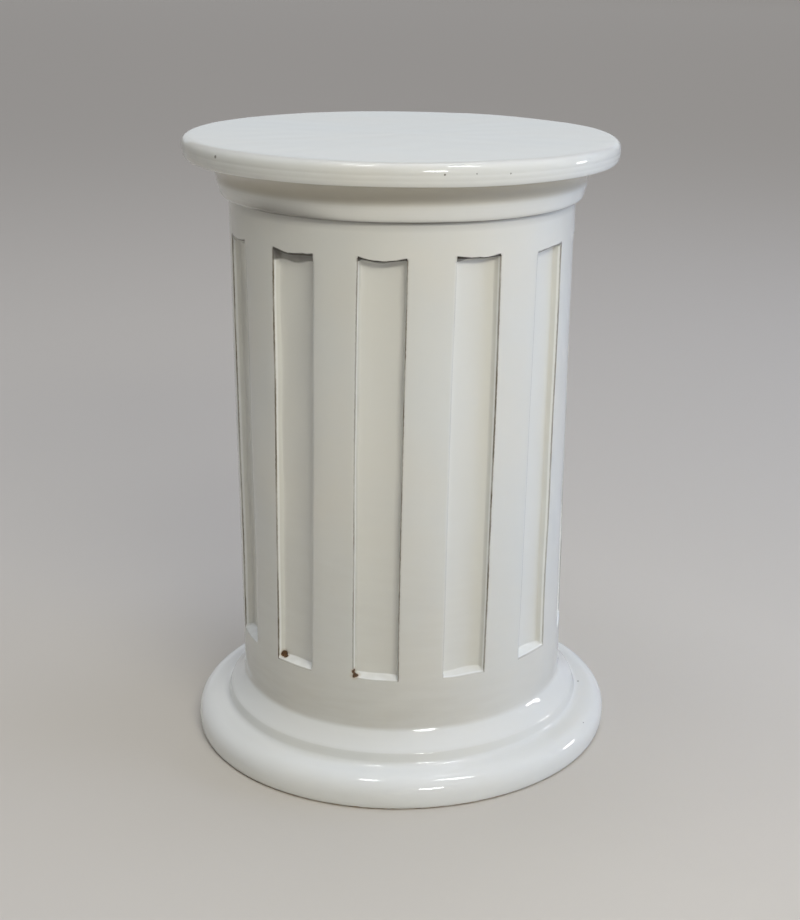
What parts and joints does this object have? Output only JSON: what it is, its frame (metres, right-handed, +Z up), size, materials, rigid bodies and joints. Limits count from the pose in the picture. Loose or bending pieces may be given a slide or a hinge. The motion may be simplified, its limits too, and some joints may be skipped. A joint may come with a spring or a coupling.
{
  "type": "fluted ceramic column",
  "caption": "Low glazed ceramic column with a round top disc, a fluted shaft and a rounded foot, used as a plinth, plant stand or side table.",
  "frame": {"origin": "centre of the foot, in the plane of the floor that the column stands on", "axes": "+Z up along the column's axis; -Y is the front that the picture shows"},
  "size_m": [0.3876, 0.3876, 0.55],
  "materials": {
    "glaze": "glossy off-white glaze over a brown body, thin and darker at the arrises, chipped in a few places"
  },
  "bodies": {
    "root": {"fluted_column": "glaze"}
  },
  "joints": []
}
